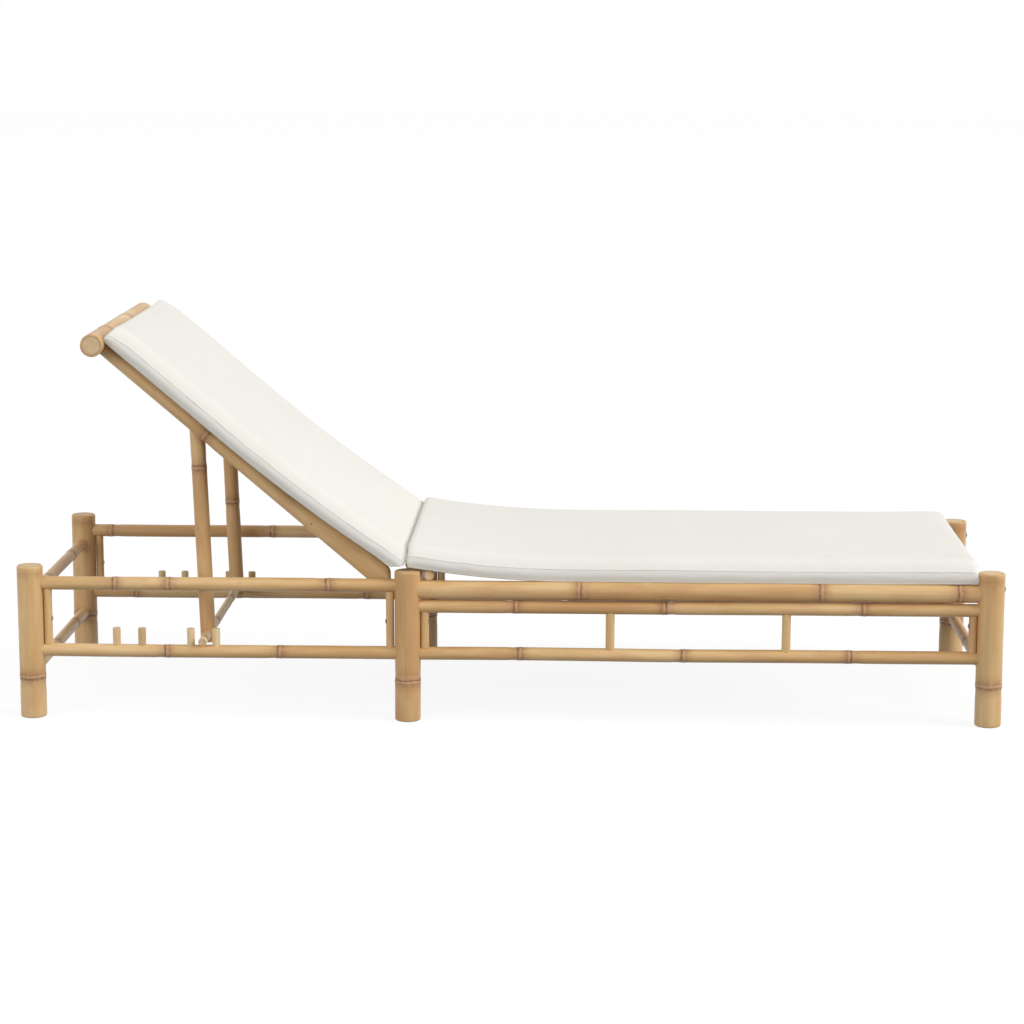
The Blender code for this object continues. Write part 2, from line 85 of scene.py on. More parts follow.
# Bands of colour at a node: strength, place past the ring and width
DARK_BANDS = ((0.95, 0.0008, 0.0011), (0.30, 0.0098, 0.0013))
# The light bands are a painted highlight at each node: one on its ridge, and one just before the ring
NODE_HIGHLIGHT_BANDS = ((1.0, 0.0052, 0.0026), (0.7, -0.0060, 0.0035))
BROWN_BANDS = ((1.0, 0.0040, 0.0150),)
STAIN_BANDS = ((0.8, 0.0, 0.0060),)

# Rows of points along a culm: the even ones, those round a ring, and shares of the eased lip
ROW_SPACING = 0.014
FINE_ROWS = tuple(step * 0.0007 for step in range(-8, 20))
COARSE_ROWS = (-0.028, -0.020, -0.014, -0.009, 0.017, 0.022, 0.030)
LIP_ROWS = (0.04, 0.12, 0.26, 0.45, 0.7, 1.0)
CLOSEST_ROWS = 0.00011

# A culm's small irregularities, and the dished shape of a sawn end by share of radius and depth
THICKNESS_CHANGE = 0.008
THICKNESS_SPREAD = (8, 3.1)
OVAL = 0.007
SWAY = 0.0009
SWAY_SCALE = 3
SWAY_LAYERS = (1.7, 5.3)
TONE_STEP = 0.618034
TONE_CHANGE = 0.37
GRAIN_SHIFT = 1.37
SAWN_RINGS = ((0.97, 0.0), (0.88, 0.0), (0.60, 0.0003), (0.28, 0.0006))
CULM_SHARP_DEGREES = 50

# Points round a culm, and how far in from its end it is eased
THICK_SIDES = 40
RAIL_SIDES = 28
THIN_SIDES = 20
POST_LIP = 0.0035
BAR_LIP = 0.003
PIVOT_BAR_LIP = 0.002
PEG_LIP = 0.0012

# The first seed of each group of culms; the others of the group count on from it
RAIL_SEED = 11
UPRIGHT_SEED = 31
HEAD_BAR_SEED = 71
BACK_RAIL_SEED = 73
BACK_SLAT_SEED = 76
FOOT_BAR_SEED = 81
PIVOT_BAR_SEED = 82
PROP_LEG_SEED = 84

# How far the rings of a CAD culm stand out of it, and the rails whose CAD culm has none
CAD_RIDGE = 0.0009
SMOOTH_IN_CAD = ("head_low_rail",)

# Where the rings lie: heights on the posts, with a seed for each side
POST_RINGS = {"head": (0.081, (5, 2)), "mid": (0.087, (9, 22)), "foot": (0.080, (7, 4))}
FAR_RING_SHIFT = 0.004
END_POST_STAIN = 0.2965

# Places along X on the long rails of the near and the far side; the photograph gives the near ones
RAIL_RINGS = {
    "head_top_rail": ((-0.803, -0.685, -0.368), (-0.905, -0.55, -0.30)),
    "head_low_rail": ((-0.698, -0.468), (-0.86, -0.62, -0.34)),
    "seat_rail": ((0.150, 0.628, 0.905), (0.05, 0.41, 0.77)),
    "seat_second_rail": ((0.013, 0.322, 0.714), (-0.05, 0.25, 0.52, 0.83)),
    "seat_low_rail": ((0.021, 0.352, 0.695), (0.12, 0.44, 0.80)),
}

# Places along Y on the rails and slats that run across
CROSS_RINGS = {
    "head_upper_end_rail": (-0.12, 0.13),
    "head_lower_end_rail": (-0.05, 0.16),
    "mid_cross_rail": (0.06,),
    "foot_upper_end_rail": (-0.09, 0.14),
    "foot_lower_end_rail": (0.02,),
}
HEAD_SLAT_RINGS = (-0.11, 0.14)

# Distances along the bars and legs from their start, and up the back rails from the hinge
HEAD_BAR_RINGS = (0.155, 0.405)
BACK_RAIL_RINGS = {"near": (0.459,), "far": (0.38, 0.66)}
FOOT_BAR_RINGS = (0.21, 0.43)
PIVOT_BAR_RINGS = (0.2, 0.37)
NEAR_LEG_RING_FROM_TOP = 0.078
FAR_LEG_RING = 0.21

# A back rail grows towards its foot and is sawn upright there, past the hinge by FOOT_CUT
BACK_RAIL_TAIL = 0.020
FOOT_TAPER = 0.27
FOOT_GROWTH = 0.84
FOOT_CUT = 0.0205

# The prop legs are thicker than the CAD's, and pass the foot bar's underside by PROP_TAIL
PROP_GROWTH = 1.20
PROP_TAIL = 0.008

# Rails and legs end this share of the bar's radius short of its axis
SUNK_IN_BAR = 0.6

# Cushions: upright sides, with a rounded shoulder above them up to the flat top
SIDE_HEIGHT = 0.0255
SHOULDER_HEIGHT = 0.0220
SHOULDER_WIDTH = 0.034
SHOULDER_POWER = 2.3
END_ROUND = 0.014
END_ROUND_SHARE = 0.5
LOW_ROUND = 0.0030
GUSSET_BULGE = 0.0026
GUSSET_ROWS = 9
DRAW_IN = 0.0030
WELT_RADIUS = 0.0007
WELT_SIDES = 6
CUSHION_SHARP_DEGREES = 60
REST_GAP = 0.0003

# Grid of a cushion, and shares of its margin where lines lie close
GRID_SPACING = 0.010
MARGIN_LINES = (0.08, 0.25, 0.5, 0.75, 1.0, 1.6, 2.4)
MARGIN_SHARE = 2.4
GRID_EASING = 0.62
CLOSEST_LINES = 0.0004

# Unevenness of a cushion: height, then scale along and across
RIPPLE = (0.0007, 26, 26)
SOFTNESS = (0.0010, 6, 8)
PUCKER = (0.0011, 38, 30)
PUCKER_REACH = 0.016
GUSSET_WAVES = (0.0006, 24, 2)
LEAN_REACH = 0.06

# The seat cushion bends up over the head slat, and the back cushion towards the seat
SEAT_BEND = 0.33
SEAT_CROWN = 0.003
SEAT_END_DROP = (0.001, 0.03)
SEAT_FOOT_LIFT = (0.002, 0.22)
SEAT_DROOP = 0.0012
SEAT_DROOP_EDGE = 0.009
SEAT_DROOP_START = 0.10
SEAT_DROOP_REACH = 0.25
SEAT_SEED = 4.0
SLAT_GAP = 0.0006
BACK_START = 0.005
BACK_END_GAP = 0.011
BACK_BEND = 0.44
BACK_RISE = 0.0290
BACK_CROWN = 0.007
BACK_END_DROP = (0.006, 0.05)
BACK_LEAN = 0.014
BACK_SEED = 8.0
CUSHION_GAP = 0.0022

# Bolts: radius and height of the head and its washer, in shares of the bolt's radius
BOLT_PROFILE = (
    (0.35, 0.39), (0.62, 0.30), (0.82, 0.16), (0.86, 0.06), (0.86, 0.04),
    (1.30, 0.04), (1.34, 0.0), (1.30, -0.22),
)
BOLT_SIDES = 24
BOLT_SHARP_DEGREES = 35
POST_BOLT_RADIUS = 0.0055
POST_BOLT_RAISED = 0.004
STRUT_BOLT_RADIUS = 0.0042
STRUT_BOLT_HEIGHT = 0.205
STRUT_BOLT_WAYS = {"head_strut": 1, "mid_head_strut": -1, "mid_foot_strut": 1, "foot_strut": -1}
SCREW_RADIUS = 0.0018
SCREW_RAISED = 0.002

# Studio: the world's light on the object, and the floor's colour and what it adds for the camera
WORLD_LEVEL = 0.67
FLOOR_COLOUR = (0.16, 0.16, 0.16)
FLOOR_LIFT = 0.88
FLOOR_SIZE = 80

# Lamps: name, direction from the object, distance, width and level
LAMPS = (
    ("key", (0.86, -0.25, 0.44), 20.0, 11.0, 0.60),
    ("fill", (-0.60, -0.75, 0.28), 9.0, 5.0, 0.22),
)
LAMP_AIM = Vector((0, 0, 0.3))

# Linear colours
BLACK = (0, 0, 0)
WHITE = (1, 1, 1)
HONEY_TONES = ((0.82, 0.565, 0.285), (0.735, 0.47, 0.21), (0.61, 0.35, 0.14))
PALE_TONES = ((0.84, 0.64, 0.37), (0.76, 0.555, 0.295), (0.62, 0.42, 0.20))
FIBRE_TONES = ((0.74, 0.68, 0.60), (0.99, 0.98, 0.96), (1.0, 1.0, 1.0))
BLUSH = (0.62, 0.33, 0.17)
GREENISH = (0.50, 0.41, 0.175)
SPOT_BROWN = (0.34, 0.155, 0.06)
RING_BROWN = (0.41, 0.185, 0.075)
# Painted highlight on the nodes' ridges
RING_HIGHLIGHT = (0.78, 0.58, 0.34)
SCAR_BROWN = (0.085, 0.036, 0.016)
SCAR_FADED = (0.45, 0.45, 0.45)
SAWN_TONES = ((0.64, 0.445, 0.25), (0.755, 0.56, 0.34))
SAWN_FIBRES = ((0.42, 0.26, 0.135), (0.74, 0.54, 0.32))
SAWN_RIM = (0.36, 0.215, 0.105)
CREAM_TONES = ((0.855, 0.837, 0.778), (0.878, 0.863, 0.805))
WEAVE_TONES = ((0.93, 0.925, 0.91), WHITE)
SLUB_TONE = (0.80, 0.77, 0.70)
STEEL_TONES = ((0.16, 0.145, 0.13), (0.34, 0.32, 0.30))
THREAD_TONES = ((0.70, 0.675, 0.60), (0.82, 0.80, 0.735))

# Scales of the patterns on bamboo, twice across the grain and once along it
BROAD_SCALE = (30, 30, 4.5)
STREAK_SCALE = (190, 190, 4.0)
RAGGED_SCALE = (130, 130, 60)
SAWN_FIBRE_SCALE = (1100, 1100, 0)
SAWN_CLOUD_SCALE = (70, 70, 70)

# Patches on a culm's skin: colour, scale, detail, roughness, noise where they start and are whole, share
SKIN_PATCHES = (
    (BLUSH, (22, 22, 9), 2.0, 0.6, 0.52, 0.70, 0.46),
    (GREENISH, (11, 11, 2.6), 1.0, 0.5, 0.54, 0.74, 0.32),
    (SPOT_BROWN, (95, 95, 30), 3.0, 0.65, 0.67, 0.76, 0.42),
)

# Strength and depth of the fine relief
SKIN_BUMP = (0.30, 0.0006)
SAWN_BUMP = (0.2, 0.0004)
WEAVE_BUMP = (0.30, 0.0004)
CREASE_BUMP = (0.22, 0.004)

# Scales of the patterns on cloth, thread and steel
WEAVE_SCALE = 330.0
SLUB_SCALE = (60, 400, 60)
CREASE_SCALE = (7, 16, 16)
CLOTH_CLOUD_SCALE = 5.0
THREAD_SCALE = 1500.0
STEEL_SCALE = 600.0


def centre(node):
    low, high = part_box(node)
    return (low + high) / 2


UP_BACK = centre("head_bar") - HINGE
UP_BACK.y = 0
HEAD_BAR_DISTANCE = UP_BACK.length
UP_BACK.normalize()
OUT_OF_BACK = Vector((UP_BACK.z, 0, -UP_BACK.x))


def add_camera():
    data = bpy.data.cameras.new("camera")
    data.sensor_width = SENSOR_WIDTH
    data.lens = CAMERA_FOCAL_PIXELS * SENSOR_WIDTH / PHOTO_SIZE
    data.shift_x = CAMERA_SHIFT_PIXELS[0] / PHOTO_SIZE
    data.shift_y = CAMERA_SHIFT_PIXELS[1] / PHOTO_SIZE
    data.clip_end = CAMERA_CLIP_END
    camera = bpy.data.objects.new("camera", data)
    camera.location = CAMERA_PLACE
    camera.rotation_euler = (math.pi / 2 - CAMERA_PITCH, 0, CAMERA_YAW)
    bpy.context.scene.collection.objects.link(camera)
    bpy.context.scene.camera = camera


class Shader:
    """A small helper that adds and links a material's nodes."""

    def __init__(self, name):
        self.material = bpy.data.materials.new(name)
        self.material.use_nodes = True
        self.tree = self.material.node_tree
        self.surface = self.tree.nodes["Principled BSDF"]

    def add(self, kind, **settings):
        node = self.tree.nodes.new(kind)
        for key, value in settings.items():
            setattr(node, key, value)
        return node

    def feed(self, socket, value):
        """A number or a colour is set on the socket itself, and a node's output is linked to it."""
        if isinstance(value, (int, float)):
            socket.default_value = value
        elif isinstance(value, tuple):
            socket.default_value = (*value, 1.0)
        else:
            self.tree.links.new(value, socket)

    def put(self, node, **values):
        """Feeds a node's sockets by their names, with _ for a space."""
        for key, value in values.items():
            self.feed(node.inputs[key.replace("_", " ")], value)
        return node

    def maths(self, operation, *values):
        node = self.add("ShaderNodeMath", operation=operation)
        for socket, value in zip(node.inputs, values):
            self.feed(socket, value)
        return node.outputs[0]

    def stretch(self, vector, scale):
        node = self.put(self.add("ShaderNodeMapping"), Vector=vector)
        node.inputs["Scale"].default_value = scale
        return node.outputs["Vector"]

    def noise(self, vector, scale, detail=3.0, roughness=0.5, distortion=0.0):
        """Noise at one scale, or at a scale for each axis."""
        if isinstance(scale, tuple):
            vector = self.stretch(vector, scale)
            scale = 1.0
        node = self.add("ShaderNodeTexNoise")
        self.put(node, Vector=vector, Scale=scale, Detail=detail)
        self.put(node, Roughness=roughness, Distortion=distortion)
        return node.outputs["Fac"]

    def wave(self, vector, direction):
        node = self.add("ShaderNodeTexWave", wave_type="BANDS", bands_direction=direction)
        self.put(node, Vector=vector, Scale=WEAVE_SCALE, Distortion=0.6, Detail=1.0)
        return node.outputs["Fac"]

    def ramp(self, factor, places, colours):
        node = self.put(self.add("ShaderNodeValToRGB"), Fac=factor)
        elements = node.color_ramp.elements
        while len(elements) < len(places):
            elements.new(0.5)
        for element, place, colour in zip(elements, places, colours):
            element.position = place
            element.color = (*colour, 1.0)
        return node.outputs["Color"]

    def rise(self, factor, start, end):
        """Black up to start and white from end on."""
        return self.ramp(factor, (start, end), (BLACK, WHITE))

    def mix(self, factor, first, second, blend="MIX"):
        node = self.add("ShaderNodeMix", data_type="RGBA", blend_type=blend)
        for number, value in ((0, factor), (6, first), (7, second)):
            self.feed(node.inputs[number], value)
        return node.outputs[2]

    def tint(self, under, where, share, colour):
        """Lays a colour over another one, at a share of where."""
        return self.mix(self.maths("MULTIPLY", where, share), under, colour)

    def attribute(self, name, output="Fac"):
        return self.add("ShaderNodeAttribute", attribute_name=name).outputs[output]

    def object_place(self):
        return self.add("ShaderNodeTexCoord").outputs["Object"]

    def bump(self, height, relief, **under):
        """Fine relief of a strength and a depth, over another one if Normal is given."""
        strength, depth = relief
        node = self.put(self.add("ShaderNodeBump"), Height=height, **under)
        return self.put(node, Strength=strength, Distance=depth).outputs["Normal"]


def bamboo_material(name, tones):
    """Culm skin: streaks along the grain, warm blotches, and the colours of the nodes, with a painted
    highlight on their ridges.
    """
    s = Shader(name)
    grain = s.attribute("grain", "Vector")

    broad = s.noise(grain, BROAD_SCALE, 3.0, 0.55, 0.5)
    level = s.maths("ADD", broad, s.maths("MULTIPLY_ADD", s.attribute("tone"), 0.40, -0.20))
    skin = s.ramp(level, (0.26, 0.48, 0.74), tones)

    streaks = s.noise(grain, STREAK_SCALE, 4.0, 0.58)
    fibres = s.ramp(streaks, (0.28, 0.52, 0.76), FIBRE_TONES)
    skin = s.mix(0.45, skin, fibres, "MULTIPLY")

    for colour, scale, detail, roughness, start, end, share in SKIN_PATCHES:
        patch = s.rise(s.noise(grain, scale, detail, roughness), start, end)
        skin = s.tint(skin, patch, share, colour)

    ragged = s.noise(grain, RAGGED_SCALE, 3.0, 0.6)
    ring_share = s.maths("MULTIPLY", s.attribute("ring_blush"), s.maths("MULTIPLY_ADD", ragged, 1.35, 0.10))
    skin = s.mix(ring_share, skin, RING_BROWN)
    # A painted highlight laid along each node's ridge
    skin = s.tint(skin, s.attribute("ring_highlight"), 0.34, RING_HIGHLIGHT)
    scars = s.ramp(ragged, (0.40, 0.60), (SCAR_FADED, WHITE))
    skin = s.mix(s.maths("MULTIPLY", s.attribute("ring_dark"), scars), skin, SCAR_BROWN)

    s.put(s.surface, Base_Color=skin, Roughness=s.maths("MULTIPLY_ADD", broad, 0.20, 0.33))
    s.put(s.surface, Normal=s.bump(streaks, SKIN_BUMP), Coat_Weight=0.10, Coat_Roughness=0.28)
    return s.material


def cut_end_material():
    """A sawn end: pale and matt, with the ends of the fibres as fine dark dots and a darker rim."""
    s = Shader("sawn_bamboo")
    grain = s.attribute("grain", "Vector")
    voronoi = s.add("ShaderNodeTexVoronoi")
    s.put(voronoi, Scale=1.0, Vector=s.stretch(grain, SAWN_FIBRE_SCALE))
    dots = voronoi.outputs["Distance"]
    speckle = s.ramp(dots, (0.12, 0.34), SAWN_FIBRES)
    cloudy = s.ramp(s.noise(grain, SAWN_CLOUD_SCALE, 3.0), (0.35, 0.65), SAWN_TONES)
    colour = s.mix(0.30, cloudy, speckle)
    colour = s.tint(colour, s.rise(s.attribute("rim"), 0.80, 0.93), 0.65, SAWN_RIM)
    s.put(s.surface, Base_Color=colour, Roughness=0.72, Normal=s.bump(dots, SAWN_BUMP))
    return s.material


def fabric_material():
    """Matt cream cloth with a plain weave of about a millimetre."""
    s = Shader("cream_cloth")
    where = s.object_place()
    pattern = s.attribute("weave", "Vector")
    weave = s.maths("MULTIPLY", s.wave(pattern, "X"), s.wave(pattern, "Y"))
    slubs = s.noise(pattern, SLUB_SCALE, 2.0)
    base = s.ramp(s.noise(where, CLOTH_CLOUD_SCALE, 2.0), (0.30, 0.70), CREAM_TONES)
    colour = s.mix(0.7, base, s.ramp(weave, (0.0, 0.5), WEAVE_TONES), "MULTIPLY")
    colour = s.tint(colour, slubs, 0.12, SLUB_TONE)
    fine = s.bump(weave, WEAVE_BUMP)
    creases = s.noise(where, CREASE_SCALE, 3.0, 0.5)
    s.put(s.surface, Base_Color=colour, Normal=s.bump(creases, CREASE_BUMP, Normal=fine))
    s.put(s.surface, Roughness=0.92, Sheen_Weight=0.15, Sheen_Roughness=0.5, Specular_IOR_Level=0.25)
    return s.material


def steel_material():
    s = Shader("dull_steel")
    worn = s.noise(s.object_place(), STEEL_SCALE, 3.0)
    s.put(s.surface, Base_Color=s.ramp(worn, (0.35, 0.65), STEEL_TONES), Metallic=1.0)
    s.put(s.surface, Roughness=s.maths("MULTIPLY_ADD", worn, 0.3, 0.30))
    return s.material


def thread_material():
    s = Shader("thread")
    twist = s.noise(s.object_place(), THREAD_SCALE, 2.0)
    s.put(s.surface, Base_Color=s.ramp(twist, (0.4, 0.6), THREAD_TONES), Roughness=0.8)
    return s.material


SKINS = {
    "bamboo": bamboo_material("bamboo_skin", HONEY_TONES),
    "pale_bamboo": bamboo_material("bamboo_skin_pale", PALE_TONES),
}
SAWN = cut_end_material()
CLOTH = fabric_material()
STEEL = steel_material()
THREAD = thread_material()


def bell(gap, width):
    return math.exp(-((gap / width) ** 2))


def smooth_step(value):
    value = max(0.0, min(1.0, value))
    return value * value * (3 - 2 * value)


def rounding(gap, radius):
    """How far a rounded edge has fallen away at a distance in from it."""
    if gap >= radius:
        return 0.0
    return radius * (1 - math.sqrt(max(0.0, 1 - (1 - gap / radius) ** 2)))


def thinned(steps, length, closest):
    """Steps from 0 to length in order, without those too close to the one before."""
    kept = []
    for step in sorted(steps):
        if 0 <= step <= length and (not kept or step - kept[-1] > closest):
            kept.append(step)
    kept[-1] = length
    return kept


def band(lower, upper):
    """Faces between two closed rows of points."""
    count = len(lower)
    for k in range(count):
        n = (k + 1) % count
        yield (lower[k], lower[n], upper[n], upper[k])


def make_mesh(name, points, faces, materials, first_faces, sharp_degrees):
    """A smooth mesh whose first faces have the first material, and whose others have the second."""
    mesh = bpy.data.meshes.new(name)
    mesh.from_pydata(points, [], faces)
    for material in materials:
        mesh.materials.append(material)
    for face in mesh.polygons:
        face.material_index = 0 if face.index < first_faces else 1
    mesh.shade_smooth()
    mesh.set_sharp_from_angle(angle=math.radians(sharp_degrees))
    return mesh


def store_vectors(mesh, name, vectors):
    flat = [value for vector in vectors for value in vector]
    mesh.attributes.new(name, "FLOAT_VECTOR", "POINT").data.foreach_set("vector", flat)


def add_piece(name, mesh, nodes):
    """A piece of the object, not yet put on a body."""
    obj = bpy.data.objects.new(name, mesh)
    bpy.context.scene.collection.objects.link(obj)
    if nodes:
        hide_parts(*nodes)
    return obj


def place(name, mesh, body, nodes, slot):
    obj = add_piece(name, mesh, nodes)
    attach(obj, body)
    return obj


def culm_rows(length, rings, lip):
    """Where along a culm its rows of points lie: close at rings and ends, far between."""
    count = max(2, round(length / ROW_SPACING))
    rows = {length * i / count for i in range(1, count)}
    rows.update((0.0, length))
    for ring in rings:
        rows.update(ring + step for step in FINE_ROWS + COARSE_ROWS)
    for share in LIP_ROWS:
        rows.update((lip * share, length - lip * share))
    return thinned(rows, length, CLOSEST_ROWS)


def ring_gaps(along, angle, rings, seed):
    """How far a point is past each ring; a ring wavers a little round its culm."""
    found = []
    wide, by_seed, by_ring = WAVER_SPREAD
    for number, ring in enumerate(rings):
        layer = seed * by_seed + number * by_ring
        spot = Vector((math.cos(angle) * wide, math.sin(angle) * wide, layer))
        growth = 1 if (seed + number) % 3 else -1
        found.append(growth * (along - ring - RING_WAVER * noise.noise(spot)))
    return found


def bands_at(gap, bands):
    return sum(strength * bell(gap - at, width) for strength, at, width in bands)


def strongest(bands, gaps):
    """How strong a node's bands are at a point, by the ring that marks it most."""
    return max((bands_at(gap, bands) for gap in gaps), default=0)


def ring_marks(gaps, stain_gaps):
    """How dark the skin is, how much painted highlight it has and how brown it is at a point, from its
    distances to the rings.
    """
    dark = min(1.0, strongest(DARK_BANDS, gaps))
    light = min(1.0, strongest(NODE_HIGHLIGHT_BANDS, gaps))
    return dark, light, max(strongest(BROWN_BANDS, gaps), strongest(STAIN_BANDS, stain_gaps))


class Culm:
    """A culm as one closed mesh: rows of skin from start to end, then a sawn face at each end."""

    def __init__(self, start, end, radius, rings=(), stains=(), sides=24, lip=0.0015, seed=0):
        self.start = start
        self.axis = end - start
        self.length = self.axis.length
        self.turn = self.axis.to_track_quat("Z", "Y").to_matrix()
        self.radius = radius
        self.rings = rings
        self.stains = stains
        self.sides = sides
        self.lip = lip
        self.seed = seed
        self.tone = 0.0
        self.points = []
        self.grain = []
        # One of these marks holds the painted highlight on the nodes' ridges
        self.marks = {"tone": [], "ring_dark": [], "ring_highlight": [], "ring_blush": [], "rim": []}
        self.faces = []

    def add_point(self, spot, fibre, shades, rim):
        self.points.append(tuple(spot))
        self.grain.append(fibre)
        for values, value in zip(self.marks.values(), (self.tone, *shades, rim)):
            values.append(value)
        return len(self.points) - 1

    def radius_at(self, along, gaps):
        """The culm swells at a node, and its ends are eased."""
        by_length, by_seed = THICKNESS_SPREAD
        change = noise.noise(Vector((along * by_length, self.seed * by_seed, 0)))
        found = self.radius * (1 + THICKNESS_CHANGE * change)
        for gap in gaps:
            for height, at, width in NODE_OUTLINE:
                found += height * bell(gap - at, width)
        for edge in (along, self.length - along):
            found -= rounding(edge, self.lip)
        return found

    def add_skin_point(self, along, angle, sway):
        gaps = ring_gaps(along, angle, self.rings, self.seed)
        stain_gaps = ring_gaps(along, angle, self.stains, self.seed)
        facet = Vector((math.cos(angle), math.sin(angle), 0))
        oval = 1 + OVAL * math.cos(2 * angle + self.seed)
        wide = self.radius_at(along, gaps)
        spot = self.start + self.turn @ (facet * wide * oval + sway + Vector((0, 0, along)))
        fibre = (facet.x * self.radius, facet.y * self.radius, along + self.seed * GRAIN_SHIFT)
        return self.add_point(spot, fibre, ring_marks(gaps, stain_gaps), 0.0)

    def add_row(self, along):
        """A row of skin points; each stretch between two nodes has a tone of its own."""
        passed = sum(along > ring for ring in self.rings)
        self.tone = (self.seed * TONE_STEP + passed * TONE_CHANGE) % 1.0
        drift = [noise.noise(Vector((along * SWAY_SCALE, self.seed, layer))) for layer in SWAY_LAYERS]
        sway = Vector((*drift, 0)) * SWAY
        return [self.add_skin_point(along, 2 * math.pi * k / self.sides, sway) for k in range(self.sides)]

    def add_sawn_end(self, outer, inward, flip):
        """Rings of points inside the outermost row, and one flat face in their middle."""
        edge = [(Vector(self.points[i]), self.grain[i]) for i in outer]
        middle = sum((spot for spot, fibre in edge), Vector()) / self.sides
        for share, depth in SAWN_RINGS:
            made = []
            for spot, (across, over, along) in edge:
                dished = middle + (spot - middle) * share + inward * depth
                made.append(self.add_point(dished, (across * share, over * share, along), (0, 0, 0), share))
            self.faces.extend(quad[::-1] if flip else quad for quad in band(outer, made))
            outer = made
        self.faces.append(tuple(outer[::-1]) if flip else tuple(outer))

    def mesh(self, name, skin):
        rows = [self.add_row(along) for along in culm_rows(self.length, self.rings, self.lip)]
        for lower, upper in zip(rows, rows[1:]):
            self.faces.extend(band(lower, upper))
        skin_faces = len(self.faces)
        way = self.axis.normalized()
        self.add_sawn_end(rows[0], way, True)
        self.add_sawn_end(rows[-1], -way, False)
        mesh = make_mesh(name, self.points, self.faces, (skin, SAWN), skin_faces, CULM_SHARP_DEGREES)
        store_vectors(mesh, "grain", self.grain)
        for key, values in self.marks.items():
            mesh.attributes.new(key, "FLOAT", "POINT").data.foreach_set("value", values)
        return mesh


def add_culm(node, body, start, end, radius, slot="bamboo", **shape):
    """A culm from start to end, which replaces a CAD node."""
    name = f"{node}_culm"
    mesh = Culm(start, end, radius, **shape).mesh(name, SKINS[slot])
    return place(name, mesh, body, [node], slot)


def node_axis(node, ridged):
    """The two ends and the radius of a round node that lies along X, Y or Z."""
    low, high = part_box(node)
    size = high - low
    axis = max(range(3), key=lambda i: size[i])
    middle = (low + high) / 2
    start = middle.copy()
    end = middle.copy()
    start[axis] = low[axis]
    end[axis] = high[axis]
    wide = max(size[i] for i in range(3) if i != axis) / 2
    return start, end, wide - (CAD_RIDGE if ridged else 0)


def straight_culm(node, body, rings, ridged=True, **shape):
    """Replaces a CAD culm that lies along an axis; rings are places along that axis."""
    start, end, radius = node_axis(node, ridged)
    axis = max(range(3), key=lambda i: abs((end - start)[i]))
    along = [ring - start[axis] for ring in rings]
    return add_culm(node, body, start, end, radius, rings=along, **shape)


def add_posts():
    for post, (height, seeds) in POST_RINGS.items():
        stains = () if post == "mid" else (END_POST_STAIN,)
        for side, seed in zip(SIDES, seeds):
            ring = height + (0.0 if side == "near" else FAR_RING_SHIFT)
            node = f"{post}_post_{side}"
            shape = {"sides": THICK_SIDES, "lip": POST_LIP, "stains": stains, "seed": seed}
            straight_culm(node, "frame", (ring,), **shape)


def add_rails():
    seed = RAIL_SEED
    for name, both in RAIL_RINGS.items():
        ridged = name not in SMOOTH_IN_CAD
        for side, rings in zip(SIDES, both):
            straight_culm(f"{name}_{side}", "frame", rings, ridged, sides=RAIL_SIDES, seed=seed)
            seed += 1
    for name, rings in CROSS_RINGS.items():
        straight_culm(name, "frame", rings, seed=seed)
        seed += 1


def add_uprights_and_slats():
    seed = UPRIGHT_SEED
    for name in ("head_strut", "mid_head_strut", "mid_foot_strut", "foot_strut", "spindle_1", "spindle_2"):
        for side in SIDES:
            straight_culm(f"{name}_{side}", "frame", (), False, sides=THIN_SIDES, seed=seed)
            seed += 1
    for number in range(1, 5):
        for side in SIDES:
            node = f"peg_{number}_{side}"
            shape = {"sides": THIN_SIDES, "lip": PEG_LIP, "seed": seed}
            straight_culm(node, "frame", (), False, slot="pale_bamboo", **shape)
            seed += 1
    straight_culm("seat_head_slat", "frame", HEAD_SLAT_RINGS, False, sides=THIN_SIDES, seed=seed)
    for number in range(1, 5):
        node = f"seat_slat_{number}"
        rings = (0.05 * number - 0.2, 0.21)
        straight_culm(node, "frame", rings, False, sides=THIN_SIDES, seed=seed + number)


def on_back(distance, y, out=0.0):
    """A point of the back, by its distance up from the hinge."""
    return HINGE + UP_BACK * distance + OUT_OF_BACK * out + Vector((0, y, 0))


def thicken_foot(mesh, radius):
    """A back rail grows towards its foot, on its upper side, and its foot is sawn upright."""
    for point in mesh.vertices:
        from_hinge = point.co - HINGE
        share = 1 - max(0.0, from_hinge.dot(UP_BACK)) / FOOT_TAPER
        if share > 0:
            out = from_hinge.dot(OUT_OF_BACK)
            point.co += OUT_OF_BACK * ((out + radius) * FOOT_GROWTH * share)
            point.co.x = min(point.co.x, HINGE.x + FOOT_CUT)


def add_back_frame():
    start, end, bar_radius = node_axis("head_bar", True)
    add_culm(
        "head_bar", "backrest", start, end, bar_radius,
        rings=HEAD_BAR_RINGS, sides=THICK_SIDES, lip=BAR_LIP, seed=HEAD_BAR_SEED,
    )
    for number, side in enumerate(SIDES):
        node = f"back_rail_{side}"
        y = centre(node).y
        low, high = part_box(node)
        radius = (high.y - low.y) / 2 - CAD_RIDGE
        start = on_back(-BACK_RAIL_TAIL, y)
        end = on_back(HEAD_BAR_DISTANCE - bar_radius * SUNK_IN_BAR, y)
        rings = [ring + BACK_RAIL_TAIL for ring in BACK_RAIL_RINGS[side]]
        shape = {"rings": rings, "sides": RAIL_SIDES, "seed": BACK_RAIL_SEED + number}
        rail = add_culm(node, "backrest", start, end, radius, **shape)
        thicken_foot(rail.data, radius)
    for number in range(1, 4):
        rings = (0.02 + 0.07 * number,)
        shape = {"sides": THIN_SIDES, "seed": BACK_SLAT_SEED + number}
        straight_culm(f"back_slat_{number}", "backrest", rings, False, **shape)


